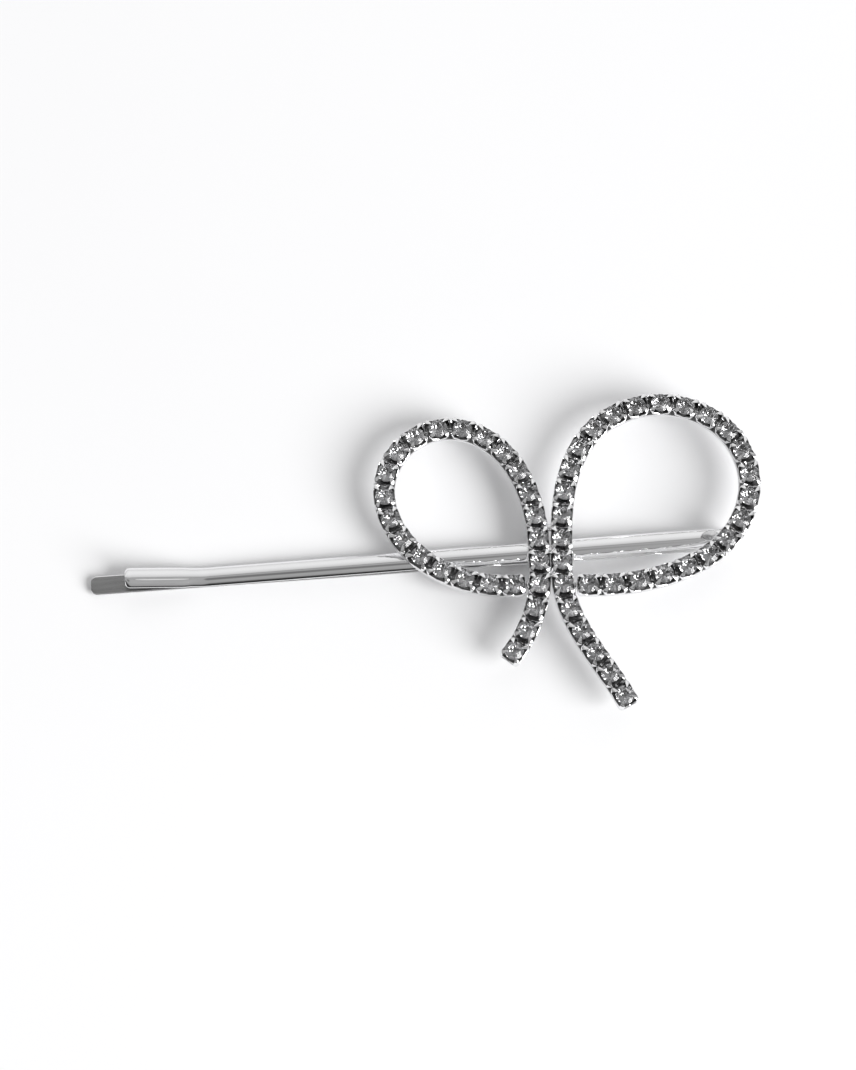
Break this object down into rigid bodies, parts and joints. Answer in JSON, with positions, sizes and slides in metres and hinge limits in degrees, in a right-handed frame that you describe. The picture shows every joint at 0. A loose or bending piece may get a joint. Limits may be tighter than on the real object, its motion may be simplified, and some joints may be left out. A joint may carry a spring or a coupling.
{
  "type": "rhinestone hair slide",
  "caption": "Folded spring-steel hair pin with a flat looped bow of square cup chain, each cup holding a round clear stone, soldered on its upper leg.",
  "frame": {"origin": "on the lower leg's flat underside, below the point where the two legs grip", "axes": "+X along the pin from its open tips to its closed end, +Y across the pin towards the tops of the bow's loops, +Z from the pin up to the stones"},
  "size_m": [0.0692, 0.0334, 0.0043],
  "materials": {
    "plated_strip": "bright rhodium-coloured plate on spring steel",
    "cup_metal": "bright plate on stamped cups",
    "link_metal": "bright plate on the chain's links",
    "solder": "plated over soft solder, slightly dull",
    "crystal": "clear foiled glass, cut in facets"
  },
  "bodies": {
    "lower_pin": {"lower_leg": "plated_strip", "spring_bend": "plated_strip"},
    "upper_pin": {"upper_leg": "plated_strip", "knot_crossing_solder": "solder", "knot_seam_solder": "solder", "left_crossing_solder": "solder", "left_knot_cups": "cup_metal", "left_knot_links": "link_metal", "left_knot_stones": "crystal", "left_loop_cups": "cup_metal", "left_loop_end_solder": "solder", "left_loop_links": "link_metal", "left_loop_stones": "crystal", "left_tail_cups": "cup_metal", "left_tail_links": "link_metal", "left_tail_stones": "crystal", "right_crossing_solder": "solder", "right_knot_cups": "cup_metal", "right_knot_links": "link_metal", "right_knot_stones": "crystal", "right_loop_cups": "cup_metal", "right_loop_end_solder": "solder", "right_loop_links": "link_metal", "right_loop_stones": "crystal", "right_tail_cups": "cup_metal", "right_tail_links": "link_metal", "right_tail_stones": "crystal"}
  },
  "joints": [
    {"name": "pin_opening", "type": "hinge", "parent": "lower_pin", "child": "upper_pin", "pos_m": [0.0529, 0, 0.0013], "axis": [0, 1, 0], "range_deg": [0, 10], "stiffness_Nm_per_rad": 0.3, "springref_deg": -2.86, "deforming": ["spring_bend"]}
  ]
}
